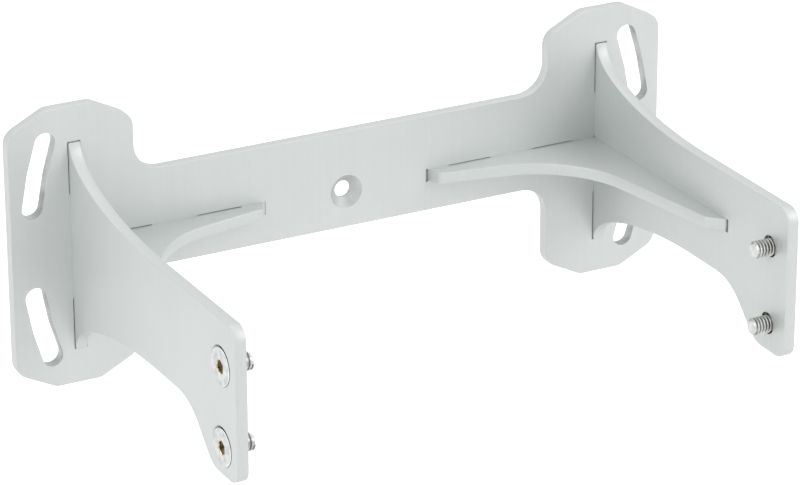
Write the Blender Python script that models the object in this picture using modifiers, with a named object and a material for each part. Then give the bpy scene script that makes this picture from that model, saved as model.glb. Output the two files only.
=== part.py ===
"""Wall-mount yoke bracket: a back plate, two arms, two gussets, weld deposits and four clamp screws.

Metres, +Z up, +X to the right. The wall face of the back plate is y = 0, the arms reach towards -Y,
and the origin is the pivot hole's centre on the wall face.
"""
import math

import bmesh
import bpy

MM = 0.001
DEG = math.pi / 180.0

# Sheet and joint clearances
SHEET = 4.0 * MM
GROOVE_DEPTH = 0.8 * MM
GROOVE_GAP = 0.3 * MM
TAB_GAP = 0.2 * MM
SEAT_GAP = 0.3 * MM

# Back plate
EAR_OUTER = 121.0 * MM
EAR_WIDTH = 43.9 * MM
EAR_HALF_HEIGHT = 48.4 * MM
EAR_SLOPE_RUN = 14.0 * MM
EAR_SLOPE_DROP = 7.0 * MM
EAR_CORNER_RADIUS = 6.0 * MM
BAR_ABOVE = 21.5 * MM
BAR_BELOW = 12.6 * MM
BAR_FILLET = 10.0 * MM

# Fixing slots, concentric with the pivot hole
SLOT_EDGE = 6.7 * MM
SLOT_WIDTH = 7.2 * MM
SLOT_START = 7.9 * DEG
SLOT_END = 19.0 * DEG
PIVOT_HOLE_RADIUS = 2.95 * MM
PIVOT_SINK_RADIUS = 5.9 * MM

# Arms
ARM_INSET = 21.0 * MM
ARM_HALF_HEIGHT = 18.0 * MM
ARM_REACH = 122.0 * MM
FOOT_MARGIN = 12.4 * MM
FOOT_SWEEP = 65.0 * MM
FOOT_EDGE = 0.6 * MM
PAD_BOTTOM_LENGTH = 17.6 * MM
PAD_DROP = 16.2 * MM
PAD_SLOPE = 45.0 * DEG
PAD_TOP_RADIUS = 5.0 * MM
PAD_FRONT_RADIUS = 5.0 * MM
PAD_HEEL_RADIUS = 10.0 * MM
PAD_THROAT_RADIUS = 20.0 * MM
FOOT_TAB_LENGTH = 17.0 * MM
FOOT_TAB_INSET = 0.6 * MM
FOOT_GROOVE_OVERRUN = 0.7 * MM

# Gussets
GUSSET_PLATE_LEG = 65.0 * MM
GUSSET_ARM_LEG = 85.0 * MM
GUSSET_PLATE_TIP = 4.8 * MM
GUSSET_PLATE_SLANT = 2.2 * MM
GUSSET_ARM_TIP = 4.8 * MM
GUSSET_ARM_SLANT = 4.9 * MM
GUSSET_WAIST_OUT = 15.8 * MM
GUSSET_WAIST_FORWARD = 13.7 * MM
GUSSET_THROAT_RADIUS = 35.0 * MM
GUSSET_TIP_RADIUS = 2.0 * MM
PLATE_GROOVE_OVERRUN = 0.9 * MM
ARM_GROOVE_OVERRUN = 1.7 * MM
PLATE_TAB_LENGTH = 16.0 * MM
PLATE_TAB_FIRST = 16.5 * MM
PLATE_TAB_PITCH = 32.5 * MM
ARM_TAB_LENGTH = 17.0 * MM
ARM_TAB_FIRST = 18.0 * MM
ARM_TAB_PITCH = 26.0 * MM
ARM_TAB_COUNT = 3
ARM_TAB_DEPTH = 2.2 * MM

# Weld deposits
PLUG_THICKNESS = 1.3 * MM
PLUG_CORNER_RADIUS = 1.2 * MM
WALL_RECESS = 0.1 * MM
BEAD_LEG = 2.4 * MM
BEAD_LENGTH = 15.0 * MM
BEAD_FIRST = 31.0 * MM
BEAD_PITCH = 26.0 * MM
BEAD_COUNT = 2

# Clamp screws, countersunk with a hexagon socket
SCREW_SETBACK = 10.4 * MM
SCREW_UPPER_Z = 2.35 * MM
SCREW_SPACING = 27.0 * MM
SCREW_LENGTH = 10.0 * MM
SCREW_PROUD = 0.3 * MM
SCREW_SAG = 0.3 * MM
THREAD_RADIUS = 3.0 * MM
THREAD_PITCH = 1.0 * MM
THREAD_DEPTH = 0.55 * MM
TIP_CHAMFER = 0.7 * MM
HEAD_RADIUS = 6.0 * MM
HEAD_LAND = 0.4 * MM
HEAD_SOCKET_ACROSS = 4.0 * MM
HEAD_SOCKET_DEPTH = 2.2 * MM
ARM_HOLE_RADIUS = 3.7 * MM
SINK_GAP = 0.3 * MM

# Facets
ARC_STEP = 7.5 * DEG
TURN_STEPS = 32
CUT_MARGIN = 1.0 * MM
SINK_POINT = 1.0 * MM

# Values worked out from the sizes above
EAR_INNER = EAR_OUTER - EAR_WIDTH
SLOT_RADIUS = EAR_OUTER - SLOT_EDGE
ARM_OUTER_FACE = EAR_OUTER - ARM_INSET
ARM_INNER_FACE = ARM_OUTER_FACE - SHEET
PLATE_FRONT = -SHEET
SEAT = PLATE_FRONT + GROOVE_DEPTH - SEAT_GAP
TAB_END = -(WALL_RECESS + PLUG_THICKNESS + SEAT_GAP)
FOOT_HALF_HEIGHT = EAR_HALF_HEIGHT - FOOT_MARGIN
FOOT_FLARE = FOOT_HALF_HEIGHT - ARM_HALF_HEIGHT
ARM_FRONT = PLATE_FRONT - ARM_REACH
PAD_BOTTOM = -(ARM_HALF_HEIGHT + PAD_DROP)
SCREW_Y = ARM_FRONT + SCREW_SETBACK
SCREW_HEIGHTS = {"upper": SCREW_UPPER_Z, "lower": SCREW_UPPER_Z - SCREW_SPACING}
GUSSET_SIDE = ARM_INNER_FACE + GROOVE_DEPTH - SEAT_GAP
GUSSET_TIP_X = ARM_INNER_FACE - GUSSET_PLATE_LEG
GUSSET_TIP_Y = PLATE_FRONT - GUSSET_ARM_LEG
OUTER_PLATE_TAB = ARM_INNER_FACE - PLATE_TAB_FIRST
PLATE_TABS = [OUTER_PLATE_TAB - PLATE_TAB_PITCH, OUTER_PLATE_TAB]
ARM_TABS = [PLATE_FRONT - ARM_TAB_FIRST - i * ARM_TAB_PITCH for i in range(ARM_TAB_COUNT)]
BEADS = [PLATE_FRONT - BEAD_FIRST - i * BEAD_PITCH for i in range(BEAD_COUNT)]
FOOT_TAB_CENTRE = FOOT_HALF_HEIGHT - FOOT_TAB_INSET - FOOT_TAB_LENGTH / 2
SINK_RADIUS = HEAD_RADIUS + HEAD_LAND + SINK_GAP
SIDES = {"left": -1.0, "right": 1.0}
LEVELS = {"upper": 1.0, "lower": -1.0}

# Rotations that lay a flat outline in the plate's plane and in the arms' plane
UPRIGHT = (math.pi / 2, 0.0, 0.0)
SIDEWAYS = (math.pi / 2, 0.0, math.pi / 2)


def clear_scene():
    """Remove every object that is already in the file."""
    for old in list(bpy.data.objects):
        bpy.data.objects.remove(old, do_unlink=True)


def make_collection(name):
    """A new collection linked to the scene."""
    group = bpy.data.collections.new(name)
    bpy.context.scene.collection.children.link(group)
    return group


def make_material(name, colour, roughness, metallic):
    """A Principled material with one plain finish."""
    material = bpy.data.materials.new(name)
    material.use_nodes = True
    shader = material.node_tree.nodes["Principled BSDF"]
    shader.inputs["Base Color"].default_value = (*colour, 1.0)
    shader.inputs["Roughness"].default_value = roughness
    shader.inputs["Metallic"].default_value = metallic
    return material


def arc(centre, radius, start, end):
    """Points on an arc from one angle to another, both ends included."""
    steps = max(2, math.ceil(abs(end - start) / ARC_STEP))
    angles = [start + (end - start) * i / steps for i in range(steps + 1)]
    return [(centre[0] + radius * math.cos(a), centre[1] + radius * math.sin(a)) for a in angles]


def rounded(corners):
    """An outline through corners (x, y, radius), each rounded to its radius."""
    points = []
    for i, (x, y, radius) in enumerate(corners):
        if radius <= 0.0:
            points.append((x, y))
            continue
        before = corners[i - 1]
        after = corners[(i + 1) % len(corners)]
        to_before = math.atan2(before[1] - y, before[0] - x)
        to_after = math.atan2(after[1] - y, after[0] - x)
        opening = (to_after - to_before + math.pi) % (2 * math.pi) - math.pi
        reach = radius / math.sin(abs(opening) / 2)
        middle = to_before + opening / 2
        centre = (x + reach * math.cos(middle), y + reach * math.sin(middle))
        swing = math.copysign(math.pi - abs(opening), -opening)
        start = to_before - math.copysign(math.pi / 2, opening)
        points += arc(centre, radius, start, start + swing)
    return points


def rectangle(x0, x1, y0, y1):
    """The four corners of an upright rectangle."""
    return [(x0, y0), (x1, y0), (x1, y1), (x0, y1)]


def flat_piece(name, loops, thickness):
    """A closed mesh object: the first loop is the outline, the others are openings in it."""
    curve = bpy.data.curves.new(name, "CURVE")
    curve.dimensions = "2D"
    curve.fill_mode = "BOTH"
    curve.extrude = thickness / 2
    for loop in loops:
        spline = curve.splines.new("POLY")
        spline.points.add(len(loop) - 1)
        for point, (x, y) in zip(spline.points, loop):
            point.co = (x, y, 0.0, 1.0)
        spline.use_cyclic_u = True
    sketch = bpy.data.objects.new(name + "_sketch", curve)
    bpy.context.scene.collection.objects.link(sketch)
    graph = bpy.context.evaluated_depsgraph_get()
    mesh = bpy.data.meshes.new_from_object(sketch.evaluated_get(graph))
    bpy.data.objects.remove(sketch, do_unlink=True)
    bpy.data.curves.remove(curve)
    work = bmesh.new()
    work.from_mesh(mesh)
    bmesh.ops.remove_doubles(work, verts=work.verts, dist=1e-6)
    bmesh.ops.recalc_face_normals(work, faces=work.faces)
    work.to_mesh(mesh)
    work.free()
    mesh.name = name
    return bpy.data.objects.new(name, mesh)


def place(piece, group, location=(0.0, 0.0, 0.0), rotation=(0.0, 0.0, 0.0), material=None):
    """Put an object in a collection at a place, with its material."""
    piece.location = location
    piece.rotation_euler = rotation
    group.objects.link(piece)
    if material is not None:
        piece.data.materials.clear()
        piece.data.materials.append(material)
    return piece


def as_cutter(piece, group, location, rotation=(0.0, 0.0, 0.0)):
    """Place an object as a hidden cutter."""
    place(piece, group, location, rotation)
    piece.hide_render = True
    piece.display_type = "WIRE"
    return piece


def box_cutter(name, group, low, high):
    """A cutter that fills the box between two corners."""
    mesh = bpy.data.meshes.new(name)
    work = bmesh.new()
    bmesh.ops.create_cube(work, size=1.0)
    bmesh.ops.scale(work, verts=work.verts, vec=[b - a for a, b in zip(low, high)])
    work.to_mesh(mesh)
    work.free()
    middle = [(a + b) / 2 for a, b in zip(low, high)]
    return as_cutter(bpy.data.objects.new(name, mesh), group, middle)


def sink_cutter(name, group, mouth_radius, location, rotation):
    """A 90 degree countersink whose mouth lies at the location, opening along the cutter's +Z."""
    mesh = bpy.data.meshes.new(name)
    work = bmesh.new()
    wide = mouth_radius + CUT_MARGIN
    depth = wide - SINK_POINT
    bmesh.ops.create_cone(
        work, cap_ends=True, segments=TURN_STEPS, radius1=SINK_POINT, radius2=wide, depth=depth
    )
    bmesh.ops.translate(work, verts=work.verts, vec=(0.0, 0.0, CUT_MARGIN - depth / 2))
    work.to_mesh(mesh)
    work.free()
    return as_cutter(bpy.data.objects.new(name, mesh), group, location, rotation)


def cut(piece, cutter):
    """Subtract a cutter from a piece."""
    modifier = piece.modifiers.new(cutter.name, "BOOLEAN")
    modifier.operation = "DIFFERENCE"
    modifier.solver = "EXACT"
    modifier.object = cutter


def fixing_slot(side, level):
    """One curved fixing slot, on the left or right and above or below the pivot hole."""
    half = SLOT_WIDTH / 2
    ends = [(SLOT_RADIUS * math.cos(a), SLOT_RADIUS * math.sin(a)) for a in (SLOT_START, SLOT_END)]
    points = arc((0.0, 0.0), SLOT_RADIUS + half, SLOT_START, SLOT_END)
    points += arc(ends[1], half, SLOT_END, SLOT_END + math.pi)[1:-1]
    points += arc((0.0, 0.0), SLOT_RADIUS - half, SLOT_END, SLOT_START)
    points += arc(ends[0], half, SLOT_START - math.pi, SLOT_START)[1:-1]
    return [(side * x, level * z) for x, z in points]


def build_back_plate(parts, cutters, finish):
    """The wall plate: two eared ends joined by a bar, with slots, pivot hole, tab slots and grooves."""
    ear = [
        (EAR_INNER, BAR_ABOVE, BAR_FILLET),
        (EAR_INNER, EAR_HALF_HEIGHT - EAR_SLOPE_DROP, EAR_CORNER_RADIUS),
        (EAR_INNER + EAR_SLOPE_RUN, EAR_HALF_HEIGHT, EAR_CORNER_RADIUS),
        (EAR_OUTER - EAR_SLOPE_RUN, EAR_HALF_HEIGHT, EAR_CORNER_RADIUS),
        (EAR_OUTER, EAR_HALF_HEIGHT - EAR_SLOPE_DROP, EAR_CORNER_RADIUS),
    ]
    below = [(x, -z, radius) for x, z, radius in reversed(ear[1:])]
    right = ear + below + [(EAR_INNER, -BAR_BELOW, BAR_FILLET)]
    left = [(-x, z, radius) for x, z, radius in reversed(right)]
    loops = [rounded(right + left), arc((0.0, 0.0), PIVOT_HOLE_RADIUS, 0.0, 2 * math.pi)[:-1]]
    for side in SIDES.values():
        loops += [fixing_slot(side, level) for level in (1.0, -1.0)]
    plate = flat_piece("back_plate", loops, SHEET)
    place(plate, parts, (0.0, -SHEET / 2, 0.0), UPRIGHT, finish)
    cut(plate, sink_cutter("pivot_sink", cutters, PIVOT_SINK_RADIUS, (0.0, PLATE_FRONT, 0.0), UPRIGHT))
    for name, side in SIDES.items():
        cut_tab_slots(plate, name, side, cutters)
        cut_grooves(plate, name, side, cutters)


def cut_tab_slots(plate, name, side, cutters):
    """Through slots in the plate for one arm's two tabs and one gusset's two tabs."""
    front = PLATE_FRONT - CUT_MARGIN
    edges = sorted((side * (ARM_INNER_FACE - TAB_GAP), side * (ARM_OUTER_FACE + TAB_GAP)))
    tab = FOOT_TAB_LENGTH / 2 + TAB_GAP
    for level, sign in LEVELS.items():
        low = (edges[0], front, sign * FOOT_TAB_CENTRE - tab)
        high = (edges[1], CUT_MARGIN, sign * FOOT_TAB_CENTRE + tab)
        cut(plate, box_cutter(f"{name}_arm_{level}_slot", cutters, low, high))
    tab = PLATE_TAB_LENGTH / 2 + TAB_GAP
    tall = SHEET / 2 + TAB_GAP
    for label, x in zip(("inner", "outer"), PLATE_TABS):
        low = (side * x - tab, front, -tall)
        high = (side * x + tab, CUT_MARGIN, tall)
        cut(plate, box_cutter(f"{name}_gusset_{label}_slot", cutters, low, high))


def cut_grooves(plate, name, side, cutters):
    """Shallow locating grooves in the plate for one arm's foot and one gusset's leg."""
    front = PLATE_FRONT - CUT_MARGIN
    floor = PLATE_FRONT + GROOVE_DEPTH
    edges = sorted((side * (ARM_INNER_FACE - GROOVE_GAP), side * (ARM_OUTER_FACE + GROOVE_GAP)))
    tall = FOOT_HALF_HEIGHT + FOOT_GROOVE_OVERRUN
    low = (edges[0], front, -tall)
    high = (edges[1], floor, tall)
    cut(plate, box_cutter(name + "_foot_groove", cutters, low, high))
    edges = sorted((side * (GUSSET_TIP_X - PLATE_GROOVE_OVERRUN), side * ARM_INNER_FACE))
    tall = SHEET / 2 + GROOVE_GAP
    low = (edges[0], front, -tall)
    high = (edges[1], floor, tall)
    cut(plate, box_cutter(name + "_gusset_groove", cutters, low, high))


def foot_curve(level):
    """The flared foot's edge, a quarter ellipse from the plate to the arm's straight edge."""
    steps = math.ceil(math.pi / 2 / (ARC_STEP / 1.5))
    points = []
    for i in range(steps + 1):
        turn = math.pi / 2 * i / steps
        y = PLATE_FRONT - FOOT_EDGE - FOOT_SWEEP * (1 - math.cos(turn))
        points.append((y, level * (FOOT_HALF_HEIGHT - FOOT_FLARE * math.sin(turn))))
    return points


def arm_outline():
    """The arm seen from its side as (y, z): flared foot with two tabs, straight beam, dropped pad."""
    heel = ARM_FRONT + PAD_BOTTOM_LENGTH
    throat = heel + PAD_DROP / math.tan(PAD_SLOPE)
    foot_end = PLATE_FRONT - FOOT_EDGE - FOOT_SWEEP
    pad = rounded([
        (foot_end, ARM_HALF_HEIGHT, 0.0),
        (ARM_FRONT, ARM_HALF_HEIGHT, PAD_TOP_RADIUS),
        (ARM_FRONT, PAD_BOTTOM, PAD_FRONT_RADIUS),
        (heel, PAD_BOTTOM, PAD_HEEL_RADIUS),
        (throat, -ARM_HALF_HEIGHT, PAD_THROAT_RADIUS),
        (foot_end, -ARM_HALF_HEIGHT, 0.0),
    ])
    points = [(SEAT, FOOT_HALF_HEIGHT)]
    points += foot_curve(1.0)[:-1] + pad + foot_curve(-1.0)[-2::-1]
    points.append((SEAT, -FOOT_HALF_HEIGHT))
    for middle in (-FOOT_TAB_CENTRE, FOOT_TAB_CENTRE):
        low = middle - FOOT_TAB_LENGTH / 2
        high = middle + FOOT_TAB_LENGTH / 2
        points += [(SEAT, low), (TAB_END, low), (TAB_END, high), (SEAT, high)]
    return points


def build_arm(name, side, parts, cutters, finish):
    """One arm with its screw holes, countersinks, gusset groove and tab pockets."""
    loops = [arm_outline()]
    for z in SCREW_HEIGHTS.values():
        loops.append(arc((SCREW_Y, z), ARM_HOLE_RADIUS, 0.0, 2 * math.pi)[:-1])
    arm = flat_piece(name + "_arm", loops, SHEET)
    place(arm, parts, (side * (ARM_OUTER_FACE - SHEET / 2), 0.0, 0.0), SIDEWAYS, finish)
    for level, z in SCREW_HEIGHTS.items():
        sink = f"{name}_{level}_sink"
        mouth = (side * ARM_OUTER_FACE, SCREW_Y, z)
        cut(arm, sink_cutter(sink, cutters, SINK_RADIUS, mouth, (0.0, side * math.pi / 2, 0.0)))
    pockets = [(PLATE_FRONT + GROOVE_DEPTH, GUSSET_TIP_Y - ARM_GROOVE_OVERRUN, GROOVE_DEPTH, GROOVE_GAP)]
    for y in ARM_TABS:
        reach = ARM_TAB_LENGTH / 2 + TAB_GAP
        pockets.append((y + reach, y - reach, ARM_TAB_DEPTH, TAB_GAP))
    for i, (rear, front, depth, gap) in enumerate(pockets):
        edges = sorted((side * (ARM_INNER_FACE - CUT_MARGIN), side * (ARM_INNER_FACE + depth)))
        low = (edges[0], front, -SHEET / 2 - gap)
        high = (edges[1], rear, SHEET / 2 + gap)
        cut(arm, box_cutter(f"{name}_arm_pocket_{i}", cutters, low, high))


def build_gusset(name, side, parts, finish):
    """One gusset: two tapering legs with slanted tips and a round throat, tabbed into plate and arm."""
    legs = rounded([
        (GUSSET_TIP_X, SEAT, 0.0),
        (GUSSET_TIP_X, PLATE_FRONT, 0.0),
        (GUSSET_TIP_X + GUSSET_PLATE_SLANT, PLATE_FRONT - GUSSET_PLATE_TIP, GUSSET_TIP_RADIUS),
        (ARM_INNER_FACE - GUSSET_WAIST_OUT, PLATE_FRONT - GUSSET_WAIST_FORWARD, GUSSET_THROAT_RADIUS),
        (ARM_INNER_FACE - GUSSET_ARM_TIP, GUSSET_TIP_Y + GUSSET_ARM_SLANT, GUSSET_TIP_RADIUS),
        (ARM_INNER_FACE, GUSSET_TIP_Y, 0.0),
        (GUSSET_SIDE, GUSSET_TIP_Y, 0.0),
    ])
    points = list(legs)
    tip = ARM_INNER_FACE + ARM_TAB_DEPTH - SEAT_GAP
    for y in reversed(ARM_TABS):
        front = y - ARM_TAB_LENGTH / 2
        rear = y + ARM_TAB_LENGTH / 2
        points += [(GUSSET_SIDE, front), (tip, front), (tip, rear), (GUSSET_SIDE, rear)]
    points.append((GUSSET_SIDE, SEAT))
    for x in reversed(PLATE_TABS):
        near = x + PLATE_TAB_LENGTH / 2
        far = x - PLATE_TAB_LENGTH / 2
        points += [(near, SEAT), (near, TAB_END), (far, TAB_END), (far, SEAT)]
    outline = [(side * x, y) for x, y in points]
    place(flat_piece(name + "_gusset", [outline], SHEET), parts, material=finish)


def build_plug(name, parts, finish, middle, size):
    """A weld deposit that fills a tab slot from the wall side, dressed flush."""
    half_x, half_z = size[0] / 2, size[1] / 2
    corners = rectangle(-half_x, half_x, -half_z, half_z)
    outline = rounded([(x, z, PLUG_CORNER_RADIUS) for x, z in corners])
    plug = flat_piece(name, [outline], PLUG_THICKNESS)
    depth = -(WALL_RECESS + PLUG_THICKNESS / 2)
    place(plug, parts, (middle[0], depth, middle[1]), UPRIGHT, finish)


def build_plugs(name, side, parts, finish):
    """The weld deposits behind one arm's two tabs and one gusset's two tabs."""
    for level, sign in LEVELS.items():
        middle = (side * (ARM_OUTER_FACE - SHEET / 2), sign * FOOT_TAB_CENTRE)
        build_plug(f"{name}_arm_{level}_plug_weld", parts, finish, middle, (SHEET, FOOT_TAB_LENGTH))
    for label, x in zip(("inner", "outer"), PLATE_TABS):
        middle = (side * x, 0.0)
        build_plug(f"{name}_gusset_{label}_plug_weld", parts, finish, middle, (PLATE_TAB_LENGTH, SHEET))


def build_beads(name, side, parts, finish):
    """Short fillet welds along the arm on the gusset's underside."""
    corner = (-SEAT_GAP, -SEAT_GAP)
    bulge = arc(corner, BEAD_LEG, math.pi, 1.5 * math.pi)
    outline = [(side * x, z) for x, z in [corner] + bulge]
    for label, y in zip(("rear", "front"), BEADS):
        bead = flat_piece(f"{name}_gusset_{label}_fillet_weld", [outline], BEAD_LENGTH)
        place(bead, parts, (side * ARM_INNER_FACE, y, -SHEET / 2), UPRIGHT, finish)


def screw_profile():
    """Half the screw's section as (radius, z), from the head's face down to the tip."""
    points = [(0.0, 0.0), (HEAD_RADIUS, 0.0), (HEAD_RADIUS, -HEAD_LAND)]
    neck = -(HEAD_LAND + HEAD_RADIUS - THREAD_RADIUS)
    points.append((THREAD_RADIUS, neck))
    tip = -SCREW_LENGTH + TIP_CHAMFER
    turns = int((neck - tip) / THREAD_PITCH)
    for i in range(turns):
        crest = neck - i * THREAD_PITCH
        points.append((THREAD_RADIUS - THREAD_DEPTH, crest - THREAD_PITCH / 2))
        points.append((THREAD_RADIUS, crest - THREAD_PITCH))
    points.append((THREAD_RADIUS, tip))
    points.append((THREAD_RADIUS - TIP_CHAMFER, -SCREW_LENGTH))
    points.append((0.0, -SCREW_LENGTH))
    return points


def build_screw(name, parts, cutters, location, rotation, finish):
    """A countersunk clamp screw, its origin on its own axis at the head's face."""
    mesh = bpy.data.meshes.new(name)
    work = bmesh.new()
    previous = None
    for radius, z in screw_profile():
        vertex = work.verts.new((radius, 0.0, z))
        if previous is not None and (vertex.co - previous.co).length > 1e-7:
            work.edges.new((previous, vertex))
        previous = vertex
    bmesh.ops.remove_doubles(work, verts=work.verts, dist=1e-7)
    work.to_mesh(mesh)
    work.free()
    screw = place(bpy.data.objects.new(name, mesh), parts, location, rotation, finish)
    turn = screw.modifiers.new("turned", "SCREW")
    turn.axis = "Z"
    turn.steps = TURN_STEPS
    turn.render_steps = TURN_STEPS
    turn.use_merge_vertices = True
    turn.merge_threshold = 1e-6
    turn.use_smooth_shade = True
    socket = bpy.data.meshes.new(name + "_socket")
    work = bmesh.new()
    radius = HEAD_SOCKET_ACROSS / math.sqrt(3.0)
    depth = HEAD_SOCKET_DEPTH + CUT_MARGIN
    bmesh.ops.create_cone(work, cap_ends=True, segments=6, radius1=radius, radius2=radius, depth=depth)
    bmesh.ops.translate(work, verts=work.verts, vec=(0.0, 0.0, CUT_MARGIN - depth / 2))
    work.to_mesh(socket)
    work.free()
    cut(screw, as_cutter(bpy.data.objects.new(name + "_socket", socket), cutters, location, rotation))


def main():
    """Build every piece of the bracket."""
    clear_scene()
    parts = make_collection("wall_yoke_bracket")
    cutters = make_collection("cutters")
    sheet = make_material("satin_aluminium", (0.70, 0.71, 0.71), 0.42, 0.9)
    weld = make_material("dressed_weld", (0.62, 0.63, 0.63), 0.5, 0.9)
    steel = make_material("stainless_steel", (0.66, 0.65, 0.63), 0.25, 1.0)
    build_back_plate(parts, cutters, sheet)
    for name, side in SIDES.items():
        build_arm(name, side, parts, cutters, sheet)
        build_gusset(name, side, parts, sheet)
        build_plugs(name, side, parts, weld)
        build_beads(name, side, parts, weld)
        for level, z in SCREW_HEIGHTS.items():
            head = (side * (ARM_OUTER_FACE + SCREW_PROUD), SCREW_Y, z - SCREW_SAG)
            turn = (0.0, side * math.pi / 2, 0.0)
            build_screw(f"{name}_{level}_screw", parts, cutters, head, turn, steel)
    bpy.context.view_layer.update()


main()
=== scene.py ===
"""Looks of the wall yoke bracket: eased sheets, closed seams, rippled welds, threaded screws and a studio.

Metres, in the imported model's own frame: +X along the bar, the arms reach towards -Y, +Z up.
"""
from __future__ import annotations

import logging
import math
from dataclasses import dataclass
from enum import Enum

import bmesh
import bpy
from mathutils import Matrix, Vector

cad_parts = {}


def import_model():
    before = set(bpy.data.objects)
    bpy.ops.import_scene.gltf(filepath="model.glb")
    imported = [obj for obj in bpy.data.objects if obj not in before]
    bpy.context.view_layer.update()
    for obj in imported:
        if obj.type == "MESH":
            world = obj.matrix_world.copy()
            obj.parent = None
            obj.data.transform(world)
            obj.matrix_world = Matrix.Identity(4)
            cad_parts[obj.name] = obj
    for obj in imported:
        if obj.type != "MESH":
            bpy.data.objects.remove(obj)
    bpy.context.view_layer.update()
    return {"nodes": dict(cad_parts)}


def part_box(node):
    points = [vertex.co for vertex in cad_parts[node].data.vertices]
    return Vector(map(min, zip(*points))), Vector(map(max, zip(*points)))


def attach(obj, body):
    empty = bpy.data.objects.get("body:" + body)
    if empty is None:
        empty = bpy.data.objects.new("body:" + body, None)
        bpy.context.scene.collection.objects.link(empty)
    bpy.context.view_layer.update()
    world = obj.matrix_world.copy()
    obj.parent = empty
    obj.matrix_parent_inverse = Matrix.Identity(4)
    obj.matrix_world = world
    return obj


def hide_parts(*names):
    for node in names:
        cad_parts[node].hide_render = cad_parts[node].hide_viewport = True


Colour = tuple[float, float, float]
Point = tuple[float, float, float]
Span = tuple[float, float]
Socket = bpy.types.NodeSocket

LOG = logging.getLogger("wall_yoke_bracket")
MM = 0.001
DOUBLES = 1e-7
FRAME_BODY = "bracket"
CUT_EDGE = "cut_edge"
# Where the sheet's finish paints shade: the walls of its openings.
OPENING = "opening"
# How deep a screw point lies in the thread, which sets its painted shade in the roots.
THREAD_ROOT = "thread_root"
# Where a screw head's rim gets its painted highlight.
HEAD_RIM = "head_rim"
WHITE = (1.0, 1.0, 1.0, 1.0)
# The values that nearly all of a noise texture lies between.
NOISE_SPAN: Span = (0.3, 0.7)


class Side(Enum):
    """The two mirrored halves of the bracket, with the sign of their X."""

    LEFT = -1.0
    RIGHT = 1.0

    @property
    def word(self) -> str:
        """The side's name as the nodes spell it."""
        return self.name.lower()


class Level(Enum):
    """The bracket's upper and lower half, each with one of an arm's two clamp screws."""

    UPPER = "upper"
    LOWER = "lower"

    @property
    def sign(self) -> float:
        """The sign of Z in this half."""
        return 1.0 if self is Level.UPPER else -1.0


class BeadPlace(Enum):
    """The two fillet welds under one gusset."""

    REAR = "rear"
    FRONT = "front"


class Slot(Enum):
    """The material slots that settle takes."""

    SHEET = "sheet"
    WELD = "weld"
    SCREW = "screw"


class Thickness(Enum):
    """The axis that a sheet is thin along."""

    X = 0
    Y = 1
    Z = 2


class Mixed(Enum):
    """What a mix node blends."""

    COLOUR = "RGBA"
    VALUE = "FLOAT"


def set_inputs(node: bpy.types.Node, **values: float | tuple) -> None:
    """Set a node's plain inputs by name, with underscores for spaces."""
    for name, value in values.items():
        node.inputs[name.replace("_", " ")].default_value = value


def start_group(name: str, inputs: tuple[str, ...], outputs: tuple[str, ...]) -> bpy.types.NodeTree:
    """Start a shader node group that takes a place and some numbers, and puts out numbers.

    Args:
        name: The group's name.
        inputs: The names of its number inputs.
        outputs: The names of its number outputs.

    Returns:
        The group with its sockets.
    """
    tree = bpy.data.node_groups.new(name, "ShaderNodeTree")
    tree.interface.new_socket(name="Vector", in_out="INPUT", socket_type="NodeSocketVector")
    for way, labels in (("INPUT", inputs), ("OUTPUT", outputs)):
        for label in labels:
            tree.interface.new_socket(name=label, in_out=way, socket_type="NodeSocketFloat")
    return tree


@dataclass(frozen=True)
class BlastedGrain:
    """The shared effect of fine blasting: a grain height, and a tone that drifts slowly."""

    detail: float = 3.0
    roughness: float = 0.6
    drift_detail: float = 2.0
    grain_share: float = 0.3

    def group(self) -> bpy.types.NodeTree:
        """Build the effect.

        Returns:
            The shader node group.
        """
        tree = start_group("blasted_grain", ("Grain Scale", "Drift Scale"), ("Height", "Tone"))
        nodes, links = tree.nodes, tree.links
        source = nodes.new("NodeGroupInput")
        result = nodes.new("NodeGroupOutput")
        grain = nodes.new("ShaderNodeTexNoise")
        set_inputs(grain, Detail=self.detail, Roughness=self.roughness)
        drift = nodes.new("ShaderNodeTexNoise")
        set_inputs(drift, Detail=self.drift_detail)
        blend = nodes.new("ShaderNodeMix")
        set_inputs(blend, Factor=self.grain_share)
        links.new(source.outputs["Vector"], grain.inputs["Vector"])
        links.new(source.outputs["Grain Scale"], grain.inputs["Scale"])
        links.new(source.outputs["Vector"], drift.inputs["Vector"])
        links.new(source.outputs["Drift Scale"], drift.inputs["Scale"])
        links.new(drift.outputs["Fac"], blend.inputs["A"])
        links.new(grain.outputs["Fac"], blend.inputs["B"])
        links.new(grain.outputs["Fac"], result.inputs["Height"])
        links.new(blend.outputs["Result"], result.inputs["Tone"])
        return tree


@dataclass(frozen=True)
class DrawnLines:
    """The shared effect of fine upright lines: brushing on faces, dressing marks on welds."""

    scale: float = 1.0
    detail: float = 2.0

    def group(self) -> bpy.types.NodeTree:
        """Build the effect.

        Returns:
            The shader node group.
        """
        tree = start_group("drawn_lines", ("Across", "Along"), ("Height",))
        nodes, links = tree.nodes, tree.links
        source = nodes.new("NodeGroupInput")
        result = nodes.new("NodeGroupOutput")
        scale = nodes.new("ShaderNodeCombineXYZ")
        stretch = nodes.new("ShaderNodeVectorMath")
        stretch.operation = "MULTIPLY"
        lines = nodes.new("ShaderNodeTexNoise")
        set_inputs(lines, Scale=self.scale, Detail=self.detail)
        links.new(source.outputs["Across"], scale.inputs["X"])
        links.new(source.outputs["Across"], scale.inputs["Y"])
        links.new(source.outputs["Along"], scale.inputs["Z"])
        links.new(source.outputs["Vector"], stretch.inputs[0])
        links.new(scale.outputs["Vector"], stretch.inputs[1])
        links.new(stretch.outputs["Vector"], lines.inputs["Vector"])
        links.new(lines.outputs["Fac"], result.inputs["Height"])
        return tree


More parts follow.
